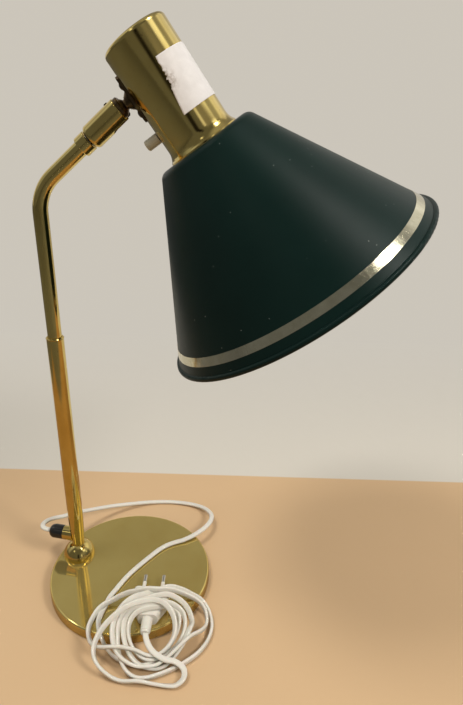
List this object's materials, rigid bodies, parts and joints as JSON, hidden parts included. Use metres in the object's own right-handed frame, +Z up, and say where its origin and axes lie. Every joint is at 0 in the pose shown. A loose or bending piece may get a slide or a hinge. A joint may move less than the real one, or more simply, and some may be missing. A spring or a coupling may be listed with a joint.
{
  "type": "adjustable desk lamp",
  "caption": "Adjustable brass desk lamp: round weighted foot, bent sliding stem, ball knuckle and a conical green metal shade with a gold stripe, plus a coiled mains lead.",
  "frame": {"origin": "middle of the round foot, on the surface it stands on", "axes": "+Z up; at rest the arm reaches out along +X; the mains lead leaves on the left and rear"},
  "size_m": [0.3612, 0.2678, 0.5222],
  "materials": {
    "brass": "polished, lacquered",
    "dark_bronze": "darkened, satin",
    "shade_green": "deep green satin lacquer outside, white inside",
    "gold_foil": "mirror foil",
    "zinc_steel": "zinc plated",
    "iron": "painted",
    "felt": "felt",
    "nickel": "nickel plated",
    "bakelite": "black, glossy",
    "ivory": "ivory, semi-gloss",
    "nylon": "natural nylon",
    "white_pvc": "white, semi-gloss",
    "flex_pvc": "thin twin flex",
    "bulb_glass": "opal glass"
  },
  "bodies": {
    "base": {"foot_cover": "brass", "ballast": "iron", "foot_pad": "felt", "dome_fitting": "brass", "foot_bolt": "zinc_steel", "bolt_washer": "zinc_steel", "outlet_tube": "brass", "outlet_collar": "brass", "cord_bush": "bakelite", "foot_flex": "flex_pvc", "cord_lead": "white_pvc", "cord_coil": "white_pvc", "cord_tail": "white_pvc", "plug_body": "white_pvc", "plug_pins": "nickel", "pin_sleeves": "white_pvc", "stem_tube": "brass", "stem_lip": "brass", "stem_plug": "zinc_steel"},
    "liner": {"stem_liner": "nylon"},
    "arm": {"arm_tube": "brass", "tube_guide": "nylon", "arm_collar": "brass", "arm_spindle": "zinc_steel", "spindle_clip": "zinc_steel", "arm_flex": "flex_pvc"},
    "sleeve": {"socket_sleeve": "brass", "mouth_ring": "dark_bronze", "ball_cup": "nylon", "cup_springs": "zinc_steel", "sleeve_screw": "zinc_steel"},
    "knuckle": {"swivel_ball": "dark_bronze", "ribbed_nut": "dark_bronze", "stud_nut": "zinc_steel"},
    "head": {"bracket_plate": "dark_bronze", "bracket_screws": "dark_bronze", "housing": "brass", "holder_bridge": "zinc_steel", "bridge_nut": "zinc_steel", "holder_nipple": "zinc_steel", "holder_cap": "bakelite", "lampholder": "bakelite", "holder_shell": "nickel", "holder_contact": "nickel", "shade_ring": "bakelite", "head_wires": "flex_pvc", "shade": "shade_green", "shade_stripe": "gold_foil", "bulb_cap": "nickel", "bulb_glass": "bulb_glass", "switch_body": "bakelite"},
    "knob": {"switch_knob": "ivory"}
  },
  "joints": [
    {"name": "arm_swivel", "type": "hinge", "parent": "base", "child": "liner", "pos_m": [-0.06005, 0.01905, 0.254], "axis": [0, 0, 1], "range_deg": [-150, 150]},
    {"name": "height_slide", "type": "slide", "parent": "liner", "child": "arm", "axis": [0, 0, 1], "range_m": [-0.1, 0.05]},
    {"name": "sleeve_turn", "type": "hinge", "parent": "arm", "child": "sleeve", "pos_m": [0.00923, 0.01905, 0.45729], "axis": [0.749, 0, 0.6626], "range_deg": [-90, 90]},
    {"name": "head_tilt", "type": "hinge", "parent": "sleeve", "child": "knuckle", "pos_m": [0.00923, 0.01905, 0.45729], "axis": [0, 1, 0], "range_deg": [-20, 24]},
    {"name": "head_turn", "type": "hinge", "parent": "knuckle", "child": "head", "pos_m": [0.00923, 0.01905, 0.45729], "axis": [0.809, 0, 0.5878], "range_deg": [-90, 90]},
    {"name": "switch_turn", "type": "hinge", "parent": "head", "child": "knob", "pos_m": [0.03626, 0.01905, 0.43676], "axis": [-0.809, 0, -0.5878], "range_deg": [0, 90]}
  ]
}
